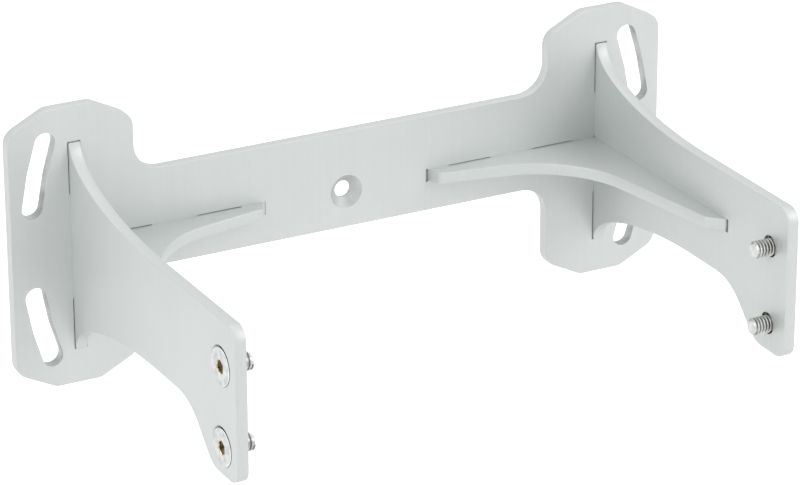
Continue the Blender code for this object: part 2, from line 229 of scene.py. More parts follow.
@dataclass(frozen=True)
class Effects:
    """The node groups that more than one finish uses."""

    grain: bpy.types.NodeTree
    lines: bpy.types.NodeTree

    @staticmethod
    def build() -> Effects:
        """Build every shared group once."""
        return Effects(grain=BlastedGrain().group(), lines=DrawnLines().group())


@dataclass(frozen=True)
class Grain:
    """How fine one blasted surface is, in waves per metre: its grain and its drift of tone."""

    scale: float
    drift: float


@dataclass(frozen=True)
class Lines:
    """How fine one surface's lines are, in waves per metre: across them and along them."""

    across: float
    along: float


@dataclass(frozen=True)
class Tones:
    """Two tones of one surface, and the values of a noise that stand for them."""

    dark: Colour
    light: Colour
    span: Span = NOISE_SPAN


@dataclass(frozen=True)
class Palette:
    """A material under construction: its shader and its Object coordinates."""

    material: bpy.types.Material
    shader: bpy.types.Node
    place: bpy.types.Node

    @staticmethod
    def start(name: str, roughness: float, metallic: float) -> Palette:
        """Make a new material with a Principled shader and Object coordinates.

        Args:
            name: The material's name.
            roughness: The shader's plain roughness.
            metallic: The shader's plain metallic value.

        Returns:
            The palette.
        """
        material = bpy.data.materials.new(name)
        material.use_nodes = True
        shader = material.node_tree.nodes["Principled BSDF"]
        set_inputs(shader, Roughness=roughness, Metallic=metallic)
        return Palette(material, shader, material.node_tree.nodes.new("ShaderNodeTexCoord"))

    def node(self, kind: str, **values: float) -> bpy.types.Node:
        """Add a node with some plain inputs.

        Args:
            kind: The node's type.
            values: The inputs by name, with underscores for spaces.

        Returns:
            The node.
        """
        made = self.material.node_tree.nodes.new(kind)
        set_inputs(made, **values)
        return made

    def group(self, tree: bpy.types.NodeTree, **values: float) -> bpy.types.Node:
        """Place a shared group on the Object coordinates.

        Args:
            tree: The shared group.
            values: This finish's own values for it.

        Returns:
            The group's node.
        """
        made = self.material.node_tree.nodes.new("ShaderNodeGroup")
        made.node_tree = tree
        set_inputs(made, **values)
        self.join(self.place.outputs["Object"], made.inputs["Vector"])
        return made

    def grain(self, effects: Effects, fine: Grain) -> bpy.types.Node:
        """Place the blasting effect, as fine as given."""
        return self.group(effects.grain, Grain_Scale=fine.scale, Drift_Scale=fine.drift)

    def lines(self, effects: Effects, fine: Lines) -> bpy.types.Node:
        """Place the effect of drawn lines, as fine as given."""
        return self.group(effects.lines, Across=fine.across, Along=fine.along)

    def attribute(self, name: str) -> Socket:
        """Read one of the piece's own attributes.

        Args:
            name: The attribute's name.

        Returns:
            Its value.
        """
        made = self.material.node_tree.nodes.new("ShaderNodeAttribute")
        made.attribute_name = name
        return made.outputs["Fac"]

    def join(self, output: Socket, target: Socket) -> None:
        """Link one socket to another."""
        self.material.node_tree.links.new(output, target)

    def feed(self, output: Socket, name: str) -> None:
        """Link a socket to one of the shader's inputs."""
        self.join(output, self.shader.inputs[name])

    def ramp(self, factor: Socket, tones: Tones) -> Socket:
        """Colour between two tones.

        Args:
            factor: The noise that chooses the tone.
            tones: The two tones and their span.

        Returns:
            The colour.
        """
        ramp = self.material.node_tree.nodes.new("ShaderNodeValToRGB")
        for element, place, colour in zip(ramp.color_ramp.elements, tones.span, (tones.dark, tones.light)):
            element.position = place
            element.color = (*colour, 1.0)
        self.join(factor, ramp.inputs["Fac"])
        return ramp.outputs["Color"]

    def blend(self, factor: Socket, first: Socket, second: Socket, kind: Mixed) -> Socket:
        """Mix two colours or two values by a factor.

        Args:
            factor: The share of the second.
            first: The first input.
            second: The second input.
            kind: Whether they are colours or values.

        Returns:
            The mixture.
        """
        mix = self.material.node_tree.nodes.new("ShaderNodeMix")
        mix.data_type = kind.value
        inputs = [s for s in mix.inputs if s.enabled]
        for socket, source in zip(inputs, (factor, first, second)):
            self.join(source, socket)
        return next(s for s in mix.outputs if s.enabled)

    def vary(self, noise: Socket, low: float, high: float) -> None:
        """Vary the shader's roughness over the surface."""
        self.feed(self.stretch(noise, low, high), "Roughness")

    def stretch(self, noise: Socket, low: float, high: float) -> Socket:
        """Stretch a noise over a range.

        Args:
            noise: A value that lies about one half.
            low: The range's start.
            high: The range's end.

        Returns:
            The stretched value.
        """
        start, end = NOISE_SPAN
        span = self.node("ShaderNodeMapRange", From_Min=start, From_Max=end, To_Min=low, To_Max=high)
        self.join(noise, span.inputs["Value"])
        return span.outputs["Result"]

    def relief(self, height: Socket, strength: float, depth: float) -> None:
        """Feed a height to the shader's normal through a bump.

        Args:
            height: The height, from 0 to 1.
            strength: The bump's strength.
            depth: The depth that a height of 1 stands for.
        """
        bump = self.node("ShaderNodeBump", Strength=strength, Distance=depth)
        self.join(height, bump.inputs["Height"])
        self.feed(bump.outputs["Normal"], "Normal")


@dataclass(frozen=True)
class SatinAluminium:
    """Finely blasted, clear anodised sheet, with smooth cut edges, and painted shade on the walls of its
    openings.
    """

    face: Tones = Tones((0.610, 0.634, 0.628), (0.636, 0.662, 0.655), (0.36, 0.64))
    edge: Tones = Tones((0.600, 0.622, 0.616), (0.640, 0.664, 0.657))
    # The openings' walls get this darker tone as painted shade, standing for the shade that falls in slots
    # and holes.
    opening: Tones = Tones((0.390, 0.404, 0.399), (0.620, 0.643, 0.636), (0.40, 0.60))
    blasting: Grain = Grain(2400.0, 26.0)
    # The slow drift of the openings' painted shade.
    tint: Grain = Grain(1600.0, 120.0)
    brushing: Lines = Lines(1400.0, 14.0)
    cutting: Lines = Lines(2600.0, 320.0)
    roughness: float = 0.50
    face_swing: float = 0.05
    edge_swing: float = 0.12
    metallic: float = 0.50
    bump: float = 0.16
    bump_depth: float = 0.06 * MM

    def material(self, effects: Effects) -> bpy.types.Material:
        """Build the sheet's material.

        Args:
            effects: The shared groups.

        Returns:
            The material.
        """
        palette = Palette.start("satin_aluminium", self.roughness, self.metallic)
        blasting = palette.grain(effects, self.blasting)
        tint = palette.grain(effects, self.tint)
        brushing = palette.lines(effects, self.brushing)
        cutting = palette.lines(effects, self.cutting)
        on_edge = palette.attribute(CUT_EDGE)
        face = palette.ramp(blasting.outputs["Tone"], self.face)
        edge = palette.ramp(cutting.outputs["Height"], self.edge)
        # Painted shade on the walls of the openings, mixed in by their mark.
        shaded_bore = palette.ramp(tint.outputs["Tone"], self.opening)
        outside = palette.blend(on_edge, face, edge, Mixed.COLOUR)
        colour = palette.blend(palette.attribute(OPENING), outside, shaded_bore, Mixed.COLOUR)
        palette.feed(colour, "Base Color")
        low, high = self.roughness - self.face_swing, self.roughness + self.face_swing
        brushed = palette.stretch(brushing.outputs["Height"], low, high)
        cut = palette.stretch(cutting.outputs["Height"], self.roughness, self.roughness + self.edge_swing)
        palette.feed(palette.blend(on_edge, brushed, cut, Mixed.VALUE), "Roughness")
        height = palette.blend(on_edge, blasting.outputs["Height"], cutting.outputs["Height"], Mixed.VALUE)
        palette.relief(height, self.bump, self.bump_depth)
        return palette.material


@dataclass(frozen=True)
class DressedWeld:
    """Aluminium weld metal: duller than the sheet, with dressing lines and a fine grain."""

    tones: Tones = Tones((0.50, 0.51, 0.51), (0.64, 0.65, 0.65))
    blasting: Grain = Grain(1500.0, 220.0)
    dressing: Lines = Lines(1900.0, 60.0)
    roughness: float = 0.42
    swing: float = 0.1
    metallic: float = 0.9
    bump: float = 0.25
    bump_depth: float = 0.08 * MM

    def material(self, effects: Effects) -> bpy.types.Material:
        """Build the weld's material.

        Args:
            effects: The shared groups.

        Returns:
            The material.
        """
        palette = Palette.start("dressed_weld", self.roughness, self.metallic)
        blasting = palette.grain(effects, self.blasting)
        dressing = palette.lines(effects, self.dressing)
        palette.feed(palette.ramp(blasting.outputs["Tone"], self.tones), "Base Color")
        palette.vary(dressing.outputs["Height"], self.roughness - self.swing, self.roughness + self.swing)
        palette.relief(dressing.outputs["Height"], self.bump, self.bump_depth)
        return palette.material


@dataclass(frozen=True)
class StainlessSteel:
    """Plain stainless screw steel: cloudy faces, a painted highlight on the head's rim and dark brown painted
    shade in the thread's roots.
    """

    cloudy: Tones = Tones((0.44, 0.454, 0.448), (0.66, 0.680, 0.672), (0.38, 0.62))
    # A brighter band on the head's rim: a painted highlight.
    rim_highlight: Tones = Tones((0.66, 0.680, 0.672), (0.76, 0.775, 0.767), (0.3, 0.5))
    # Dark brown in the thread's roots: painted shade.
    root_shade: Tones = Tones((0.10, 0.085, 0.07), (0.22, 0.190, 0.16))
    cloud: Grain = Grain(3200.0, 420.0)
    roughness: float = 0.32
    smoother: float = 0.05
    rougher: float = 0.08
    metallic: float = 1.0
    bump: float = 0.12
    bump_depth: float = 0.03 * MM

    def material(self, effects: Effects) -> bpy.types.Material:
        """Build the steel's material.

        Args:
            effects: The shared groups.

        Returns:
            The material.
        """
        palette = Palette.start("stainless_steel", self.roughness, self.metallic)
        cloud = palette.grain(effects, self.cloud)
        cloudy, rim_highlight, root_shade = (
            palette.ramp(cloud.outputs["Tone"], tones) for tones in (self.cloudy, self.rim_highlight, self.root_shade)
        )
        # Painted highlight on the head's rim.
        head = palette.blend(palette.attribute(HEAD_RIM), cloudy, rim_highlight, Mixed.COLOUR)
        # Painted shade in the thread's roots.
        colour = palette.blend(palette.attribute(THREAD_ROOT), head, root_shade, Mixed.COLOUR)
        palette.feed(colour, "Base Color")
        palette.vary(cloud.outputs["Tone"], self.roughness - self.smoother, self.roughness + self.rougher)
        palette.relief(cloud.outputs["Height"], self.bump, self.bump_depth)
        return palette.material


@dataclass(frozen=True)
class SocketBronze:
    """The screw's socket: a brown tone, speckled darker as painted shade and lighter as painted highlights.
    """

    # From dark brown painted shade to tan painted highlight, over the socket's brown.
    tones: Tones = Tones((0.29, 0.228, 0.145), (0.76, 0.67, 0.52), (0.38, 0.66))
    wear: Grain = Grain(1800.0, 800.0)
    roughness: float = 0.30
    metallic: float = 1.0
    bump: float = 0.2
    bump_depth: float = 0.05 * MM

    def material(self, effects: Effects) -> bpy.types.Material:
        """Build the socket's material.

        Args:
            effects: The shared groups.

        Returns:
            The material.
        """
        palette = Palette.start("socket_bronze", self.roughness, self.metallic)
        wear = palette.grain(effects, self.wear)
        # Brown socket colour with speckled painted shade and painted highlights.
        palette.feed(palette.ramp(wear.outputs["Tone"], self.tones), "Base Color")
        palette.relief(wear.outputs["Height"], self.bump, self.bump_depth)
        return palette.material


@dataclass(frozen=True)
class Finishes:
    """Every finished material of the bracket."""

    sheet: bpy.types.Material
    weld: bpy.types.Material
    steel: bpy.types.Material
    socket: bpy.types.Material

    @staticmethod
    def build() -> Finishes:
        """Build the shared effects and each material once.

        Returns:
            The materials.
        """
        effects = Effects.build()
        return Finishes(
            sheet=SatinAluminium().material(effects),
            weld=DressedWeld().material(effects),
            steel=StainlessSteel().material(effects),
            socket=SocketBronze().material(effects),
        )


def settle(
    work: bmesh.types.BMesh, name: str, body: str, slot: Slot, *materials: bpy.types.Material
) -> bpy.types.Object:
    """Turn a finished bmesh into an object at the origin that rides on a body.

    Args:
        work: The mesh under construction, freed here.
        name: The piece's name.
        body: The CAD body that carries it.
        slot: Not used.
        materials: The piece's materials, in the order of the faces' indices.

    Returns:
        The piece.
    """
    mesh = bpy.data.meshes.new(name)
    work.to_mesh(mesh)
    work.free()
    for material in materials:
        mesh.materials.append(material)
    piece = bpy.data.objects.new(name, mesh)
    bpy.context.scene.collection.objects.link(piece)
    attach(piece, body)
    LOG.info("built %s, %d faces", name, len(mesh.polygons))
    return piece


def sharpen(work: bmesh.types.BMesh, limit: float) -> None:
    """Shade a mesh smooth, apart from its sharp edges.

    Args:
        work: The mesh.
        limit: The turn in radians from which an edge is sharp.
    """
    for face in work.faces:
        face.smooth = True
    for edge in work.edges:
        edge.smooth = len(edge.link_faces) == 2 and edge.calc_face_angle(0.0) < limit


def ease_edges(work: bmesh.types.BMesh, edges: list[bmesh.types.BMEdge], width: float, segments: int) -> None:
    """Bevel edges.

    Args:
        work: The mesh.
        edges: The edges to bevel.
        width: The bevel's width on each side of an edge.
        segments: The number of its facets.
    """
    bmesh.ops.bevel(
        work, geom=edges, offset=width, offset_type="OFFSET", segments=segments, profile=0.5,
        affect="EDGES", material=-1, clamp_overlap=True,
    )


def connected_runs(faces: set[bmesh.types.BMFace]) -> list[list[bmesh.types.BMFace]]:
    """Sort faces into runs that hang together over their edges.

    Args:
        faces: The faces, taken out of the set one after the other.

    Returns:
        The runs.
    """
    runs = []
    while faces:
        front, run = [faces.pop()], []
        while front:
            face = front.pop()
            run.append(face)
            near = {other for edge in face.edges for other in edge.link_faces} & faces
            faces -= near
            front.extend(near)
        runs.append(run)
    return runs


def diagonal(faces: list[bmesh.types.BMFace]) -> float:
    """Measure the diagonal of the box around some faces."""
    places = [v.co for face in faces for v in face.verts]
    return math.dist([min(axis) for axis in zip(*places)], [max(axis) for axis in zip(*places)])


@dataclass
class Sheet:
    """One flat sheet: the CAD node's own form with eased rims, its cut edges and openings marked.

    A face's lean is the share of its normal along the thin axis: 1 on the flat sides, 0 on a cut edge.
    """

    node: str
    thin: Thickness
    ease: float = 0.28 * MM
    ease_segments: int = 2
    merge: float = 2e-6
    reach: float = 1e-5
    same_plane: float = math.radians(0.4)
    crease: float = math.radians(32.0)
    wall_lean: float = 0.05
    countersink_lean: float = 0.3
    cut_lean: float = 0.98
    side_lean: float = 0.99
    flat_lean: float = 0.995
    # The share of the openings' painted shade that a countersink's cone gets.
    countersink_tint: float = 0.5

    def lean(self, face: bmesh.types.BMFace) -> float:
        """How much of a face's normal lies along the thin axis."""
        return abs(face.normal[self.thin.value])

    def walls(self, work: bmesh.types.BMesh) -> set[bmesh.types.BMFace]:
        """Find the cut edges that run through the whole sheet.

        Args:
            work: The sheet's mesh.

        Returns:
            Their faces.
        """
        axis = self.thin.value
        levels = [v.co[axis] for v in work.verts]
        low, high = min(levels), max(levels)
        found = set()
        for face in work.faces:
            across = [v.co[axis] for v in face.verts]
            through = min(across) - low < self.reach and high - max(across) < self.reach
            if through and self.lean(face) < self.wall_lean:
                found.add(face)
        return found

    def build(self, source: bpy.types.Object) -> bmesh.types.BMesh:
        """Copy the node's solid, join its triangles and ease the rims of its outline and openings.

        Args:
            source: The CAD node's object, left as it is.

        Returns:
            The eased mesh, its cut edges marked.
        """
        work = bmesh.new()
        work.from_mesh(source.data)
        bmesh.ops.remove_doubles(work, verts=work.verts, dist=self.merge)
        bmesh.ops.dissolve_limit(work, angle_limit=self.same_plane, verts=work.verts, edges=work.edges)
        work.normal_update()
        walls = self.walls(work)
        rims = [
            e for e in work.edges
            if len(e.link_faces) == 2
            and len(walls.intersection(e.link_faces)) == 1
            and any(self.lean(f) > self.side_lean for f in e.link_faces)
        ]
        ease_edges(work, rims, self.ease, self.ease_segments)
        work.normal_update()
        sharpen(work, self.crease)
        mark = work.faces.layers.float.new(CUT_EDGE)
        for face in work.faces:
            face[mark] = 1.0 if self.lean(face) < self.cut_lean else 0.0
            face.smooth = self.lean(face) < self.flat_lean
        self.mark_openings(work)
        return work

    def mark_openings(self, work: bmesh.types.BMesh) -> None:
        """Mark the walls of each opening, and its countersink by a share, where the sheet's finish paints
        shade: all cut edges but the outline's.

        Args:
            work: The eased mesh.
        """
        mark = work.faces.layers.float.new(OPENING)
        runs = connected_runs({f for f in work.faces if self.lean(f) < self.cut_lean})
        outline = max(runs, key=diagonal)
        for face in (f for run in runs if run is not outline for f in run):
            # Walls take the full painted shade, and a countersink's cone takes a share of it.
            face[mark] = 1.0 if self.lean(face) < self.countersink_lean else self.countersink_tint

    def dress(self, source: bpy.types.Object, finishes: Finishes) -> bpy.types.Object:
        """Build the sheet in place of its node, in the sheet finish.

        Args:
            source: The CAD node's object.
            finishes: The finished materials.

        Returns:
            The piece.
        """
        piece = settle(self.build(source), self.node + "_eased", FRAME_BODY, Slot.SHEET, finishes.sheet)
        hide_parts(self.node)
        return piece


def half_box(side: Side, piece: str) -> tuple[Vector, Vector]:
    """Read a side's node from the frame as if it were on the right.

    Args:
        side: The half of the bracket.
        piece: The node's name without its side.

    Returns:
        The lowest and the highest corner, with X growing outwards.
    """
    low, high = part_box(f"{side.word}_{piece}")
    if side is Side.LEFT:
        low.x, high.x = -high.x, -low.x
    return low, high


@dataclass
class SeamCaulk:
    """The closed locating grooves between the sheets, with a hairline left open along each tab."""

    side: Side
    groove: float = 0.3 * MM
    depth: float = 0.5 * MM
    recess: float = 0.01 * MM
    hairline: float = 0.25 * MM
    arm_recess: float = 0.06 * MM
    overrun: float = 0.7 * MM
    ease: float = 0.01 * MM
    end_gap: float = 0.01 * MM
    tip_open: bool = True
    tip_overrun: float = 0.9 * MM
    tip_recess: float = 0.2 * MM

    def strip(self, work: bmesh.types.BMesh, x: Span, y: Span, z: Span) -> None:
        """Lay one strip that spans three ranges given for the right side, a hair short at its two ends.

        Args:
            work: The mesh that receives the strip.
            x: The two ends along X.
            y: The two ends along Y.
            z: The two ends along Z.
        """
        made = bmesh.ops.create_cube(work, size=1.0)["verts"]
        spans = [sorted(ends) for ends in (x, y, z)]
        middle = [(low + high) / 2 for low, high in spans]
        middle[0] *= self.side.value
        size = [high - low for low, high in spans]
        size[size.index(max(size))] -= 2 * self.end_gap
        bmesh.ops.scale(work, vec=size, verts=made)
        bmesh.ops.translate(work, vec=middle, verts=made)

    def line_gusset(self, work: bmesh.types.BMesh, level: Level, y: Span) -> None:
        """Lay the strips above or below a gusset, along the plate and along the arm.

        Args:
            work: The mesh that receives the strips.
            level: Above or below the gusset.
            y: The strips' ends through the plate's groove.
        """
        tip, top = half_box(self.side, "gusset")
        face = half_box(self.side, "arm")[0].x
        shelf = level.sign * top.z
        wall = level.sign * (top.z + self.groove)
        if not self.tip_open:
            shallow = (y[0] + self.tip_recess, y[1])
            self.strip(work, (tip.x - self.tip_overrun, tip.x), shallow, (0.0, wall))
        start = tip.x
        for place in ("inner", "outer"):
            near, far = half_box(self.side, f"gusset_{place}_plug_weld")
            self.strip(work, (start, near.x), y, (shelf, wall))
            self.strip(work, (near.x, far.x), y, (level.sign * (top.z + self.hairline), wall))
            start = far.x
        self.strip(work, (start, face - self.groove), y, (shelf, wall))
        x = (face + self.arm_recess, face + self.depth)
        self.strip(work, x, (y[0] - self.groove, tip.y), (shelf, wall))

    def line_foot(self, work: bmesh.types.BMesh, level: Level, y: Span) -> None:
        """Lay the strips beside and past the end of an arm's foot, in its upper or lower half.

        Args:
            work: The mesh that receives the strips.
            level: The half of the foot.
            y: The strips' ends through the plate's groove.
        """
        low, high = half_box(self.side, "arm")
        inner, outer, end = low.x, high.x, high.z
        tab = min(abs(corner.z) for corner in half_box(self.side, f"arm_{level.value}_plug_weld"))
        shelf = half_box(self.side, "gusset")[1].z + self.groove
        for face, out, start in ((inner, -1.0, shelf), (outer, 1.0, 0.0)):
            wall = face + out * self.groove
            self.strip(work, (face, wall), y, (level.sign * start, level.sign * tab))
            self.strip(work, (face + out * self.hairline, wall), y, (level.sign * tab, level.sign * end))
        x = (inner - self.groove, outer + self.groove)
        self.strip(work, x, y, (level.sign * (end + self.hairline), level.sign * (end + self.overrun)))

    def build(self) -> bmesh.types.BMesh:
        """Lay the strips of one side: around the gusset's two legs and the arm's foot.

        Returns:
            The strips as one mesh.
        """
        work = bmesh.new()
        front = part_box("back_plate")[0].y
        y = (front + self.recess, front + self.depth)
        for line in (self.line_gusset, self.line_foot):
            for level in Level:
                line(work, level, y)
        ease_edges(work, work.edges[:], self.ease, 1)
        bmesh.ops.recalc_face_normals(work, faces=work.faces)
        return work

    def dress(self, finishes: Finishes) -> bpy.types.Object:
        """Lay the strips in the sheet finish."""
        return settle(self.build(), self.side.word + "_seam_caulk", FRAME_BODY, Slot.SHEET, finishes.sheet)


@dataclass
class FilletBead:
    """A short rippled fillet weld under a gusset, along its arm."""

    side: Side
    place: BeadPlace
    leg: float = 2.3 * MM
    gap: float = 0.07 * MM
    ripple: float = 0.07
    pitch: float = 1.2 * MM
    run_out: float = 1.6 * MM
    end_girth: float = 0.35
    facets: int = 7
    rings: int = 75
    crease: float = math.radians(50.0)

    @property
    def node(self) -> str:
        """The CAD node that the bead stands for."""
        return f"{self.side.word}_gusset_{self.place.value}_fillet_weld"

    def girth(self, along: float, length: float) -> float:
        """Find the bead's relative size at a place along it: ripples and run-out ends.

        Args:
            along: The place, from the bead's start.
            length: The bead's length.

        Returns:
            The size, 1 at a ripple's top.
        """
        wave = (along / self.pitch) % 1.0
        ends = min(along, length - along) / self.run_out
        swell = math.sqrt(max(0.0, 1.0 - (1.0 - min(1.0, ends)) ** 2))
        end = self.end_girth + (1.0 - self.end_girth) * swell
        return end * (1.0 - self.ripple + self.ripple * math.sqrt(wave))

    def build(self) -> bmesh.types.BMesh:
        """Sweep the quarter-round section along the arm, swelling at each ripple.

        Returns:
            The closed bead.
        """
        work = bmesh.new()
        low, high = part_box(self.node)
        length = high.y - low.y
        reach = half_box(self.side, "arm")[0].x - self.gap
        shelf = half_box(self.side, "gusset")[0].z - self.gap
        corner = Vector((self.side.value * reach, low.y, shelf))
        start = work.verts.new(corner)
        size = self.leg * self.girth(0.0, length)
        first = work.verts.new(corner + Vector((-self.side.value * size, 0.0, 0.0)))
        bmesh.ops.spin(
            work, geom=[first], cent=corner, axis=(0.0, -self.side.value, 0.0), dvec=(0.0, 0.0, 0.0),
            angle=math.pi / 2, steps=self.facets, use_merge=False,
        )
        section = work.faces.new([v for v in work.verts if v is not start] + [start])
        step = length / self.rings
        for ring in range(self.rings):
            grown = self.girth((ring + 1) * step, length) / self.girth(ring * step, length)
            made = bmesh.ops.extrude_face_region(work, geom=[section, *section.edges])["geom"]
            section = next(g for g in made if isinstance(g, bmesh.types.BMFace))
            verts = list(section.verts)
            bmesh.ops.translate(work, vec=(0.0, step, 0.0), verts=verts)
            bmesh.ops.scale(work, vec=(grown, 1.0, grown), verts=verts, space=Matrix.Translation(-corner))
        bmesh.ops.remove_doubles(work, verts=work.verts, dist=DOUBLES)
        bmesh.ops.recalc_face_normals(work, faces=work.faces)
        sharpen(work, self.crease)
        return work

    def dress(self, finishes: Finishes) -> bpy.types.Object:
        """Lay the bead in place of its node, in the weld finish.

        Args:
            finishes: The finished materials.

        Returns:
            The piece.
        """
        piece = settle(self.build(), self.node + "_ripples", FRAME_BODY, Slot.WELD, finishes.weld)
        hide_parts(self.node)
        return piece


@dataclass
class ClampScrew:
    """A countersunk screw with a hexagon socket and a helical thread.

    It is made with its head's face at the origin and its tip towards -Z. The thread's crest and flank are
    half widths, as shares of the pitch.
    """

    side: Side
    level: Level
    length: float = 10.5 * MM
    head_radius: float = 6.25 * MM
    head_land: float = 0.30 * MM
    head_round: float = 0.28 * MM
    round_middle: float = 0.3
    rim_width: float = 0.14 * MM
    rim_depth: float = 0.33 * MM
    root_radius: float = 2.42 * MM
    crest_radius: float = 2.98 * MM
    pitch: float = 1.15 * MM
    crest: float = 0.08
    flank: float = 0.45
    thread_sunk: float = 0.06 * MM
    thread_gap: float = 0.1 * MM
    plain_turns: float = 0.2
    tip_chamfer: float = 0.5 * MM
    core_chamfer: float = 0.3 * MM
    core_taper: float = 0.25 * MM
    tip_bulge: float = 0.02 * MM
    socket_across: float = 4.0 * MM
    socket_depth: float = 2.2 * MM
    socket_mouth: float = 0.3 * MM
    socket_floor: float = 0.8 * MM
    socket_cone: float = 0.45 * MM
    around: int = 48
    crease: float = math.radians(18.0)

    @property
    def node(self) -> str:
        """The CAD node, and the body, of this screw."""
        return f"{self.side.word}_{self.level.value}_screw"

    def cone_depth(self, radius: float) -> float:
        """How far below its face the head's cone has narrowed to a radius."""
        return self.head_land + self.head_radius - radius

    def turn_body(self, work: bmesh.types.BMesh) -> list[bmesh.types.BMEdge]:
        """Turn the head and the thread's core.

        Args:
            work: The mesh that receives them.

        Returns:
            The open ring around the head's face.
        """
        eased = self.head_round * self.round_middle
        profile = [
            (self.head_radius - self.head_round, 0.0),
            (self.head_radius - eased, -eased),
            (self.head_radius, -self.head_round),
            (self.head_radius, -self.head_land),
            (self.root_radius, -self.cone_depth(self.root_radius)),
            (self.root_radius, self.core_chamfer - self.length),
            (self.root_radius - self.core_taper, -self.length),
            (0.0, -self.length - self.tip_bulge),
        ]
        line = [work.verts.new((radius, 0.0, z)) for radius, z in profile]
        edges = [work.edges.new(pair) for pair in zip(line, line[1:])]
        bmesh.ops.spin(
            work, geom=line + edges, cent=(0.0, 0.0, 0.0), axis=(0.0, 0.0, 1.0), dvec=(0.0, 0.0, 0.0),
            angle=2 * math.pi, steps=self.around, use_merge=True,
        )
        bmesh.ops.remove_doubles(work, verts=work.verts, dist=DOUBLES)
        return [e for e in work.edges if len(e.link_faces) == 1 and abs(e.verts[0].co.z) < DOUBLES]

    def sink_socket(self, work: bmesh.types.BMesh, rim: list[bmesh.types.BMEdge]) -> None:
        """Close the head's face around a hexagon socket with a chamfered mouth.

        Args:
            work: The screw's mesh.
            rim: The open ring around the head's face.
        """
        flat = self.socket_across / 2
        sector = math.pi / 3
        steel, socket = 0, 1
        loop = rim
        steps = [
            (flat + self.socket_mouth, 0.0, steel),
            (flat, self.socket_mouth, socket),
            (flat, self.socket_depth, socket),
            (self.socket_floor, self.socket_depth + self.socket_cone, socket),
        ]
        for apothem, depth, index in steps:
            made = bmesh.ops.extrude_edge_only(work, edges=loop)["geom"]
            verts = [g for g in made if isinstance(g, bmesh.types.BMVert)]
            for face in (g for g in made if isinstance(g, bmesh.types.BMFace)):
                face.material_index = index
            for vert in verts:
                angle = math.atan2(vert.co.y, vert.co.x)
                reach = apothem / math.cos((angle % sector) - sector / 2)
                vert.co = (reach * math.cos(angle), reach * math.sin(angle), -depth)
            loop = [g for g in made if isinstance(g, bmesh.types.BMEdge) and set(g.verts) <= set(verts)]
        for face in bmesh.ops.edgeloop_fill(work, edges=loop)["faces"]:
            face.material_index = socket

    def wind_thread(self, work: bmesh.types.BMesh) -> None:
        """Wind the thread's ridge around the core, faded at the tip's chamfer.

        Args:
            work: The screw's mesh.
        """
        inside = self.root_radius - self.thread_sunk
        top = self.cone_depth(self.crest_radius) + self.thread_gap
        section = [
            (inside, -top + self.flank * self.pitch),
            (self.crest_radius, -top + self.crest * self.pitch),
            (self.crest_radius, -top - self.crest * self.pitch),
            (inside, -top - self.flank * self.pitch),
        ]
        turns = (self.length - top) / self.pitch - self.plain_turns
        steps = round(turns * self.around)
        before = set(work.verts)
        ridge = work.faces.new([work.verts.new((radius, 0.0, z)) for radius, z in section])
        bmesh.ops.spin(
            work, geom=list(ridge.verts) + list(ridge.edges) + [ridge], cent=(0.0, 0.0, 0.0),
            axis=(0.0, 0.0, 1.0), dvec=(0.0, 0.0, -self.pitch / self.around),
            angle=2 * math.pi * steps / self.around, steps=steps, use_merge=False,
        )
        wound = [v for v in work.verts if v not in before]
        open_ends = {e for v in wound for e in v.link_edges if len(e.link_faces) == 1}
        bmesh.ops.holes_fill(work, edges=list(open_ends), sides=len(section))
        for vert in wound:
            reach = math.hypot(vert.co.x, vert.co.y)
            limit = self.crest_radius - self.tip_chamfer + max(0.0, vert.co.z + self.length)
            if reach > limit:
                shrink = max(limit, inside) / reach
                vert.co.x *= shrink
                vert.co.y *= shrink

    def mark_finish(self, work: bmesh.types.BMesh) -> None:
        """Mark how deep each point lies in the thread, for its painted shade, and the head's rim, for its
        painted highlight.

        Args:
            work: The screw's mesh.
        """
        root = work.verts.layers.float.new(THREAD_ROOT)
        rim = work.verts.layers.float.new(HEAD_RIM)
        shank = -self.cone_depth(self.crest_radius)
        for vert in work.verts:
            reach = math.hypot(vert.co.x, vert.co.y)
            # The deeper in the thread, the more painted shade.
            sunk = (self.crest_radius - reach) / (self.crest_radius - self.root_radius)
            on_shank = self.core_chamfer - self.length < vert.co.z < shank
            vert[root] = min(1.0, max(0.0, sunk)) if on_shank else 0.0
            # The rim band that the steel paints as a highlight.
            on_rim = reach > self.head_radius - self.rim_width and vert.co.z > -self.rim_depth
            vert[rim] = 1.0 if on_rim else 0.0

    def build(self) -> bmesh.types.BMesh:
        """Make the whole screw and lay it along its arm's hole.

        Returns:
            The screw's mesh in the bracket's frame.
        """
        work = bmesh.new()
        rim = self.turn_body(work)
        self.sink_socket(work, rim)
        self.wind_thread(work)
        bmesh.ops.recalc_face_normals(work, faces=work.faces)
        sharpen(work, self.crease)
        self.mark_finish(work)
        low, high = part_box(self.node)
        seat = (low + high) / 2
        seat.x = high.x if self.side is Side.RIGHT else low.x
        turn = Matrix.Rotation(self.side.value * math.pi / 2, 4, "Y")
        bmesh.ops.transform(work, matrix=Matrix.Translation(seat) @ turn, verts=work.verts)
        return work

    def dress(self, finishes: Finishes) -> bpy.types.Object:
        """Fit the screw in place of its node, riding on its own body.

        Args:
            finishes: The finished materials.

        Returns:
            The piece.
        """
        name = self.node + "_threaded"
        piece = settle(self.build(), name, self.node, Slot.SCREW, finishes.steel, finishes.socket)
        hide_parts(self.node)
        return piece


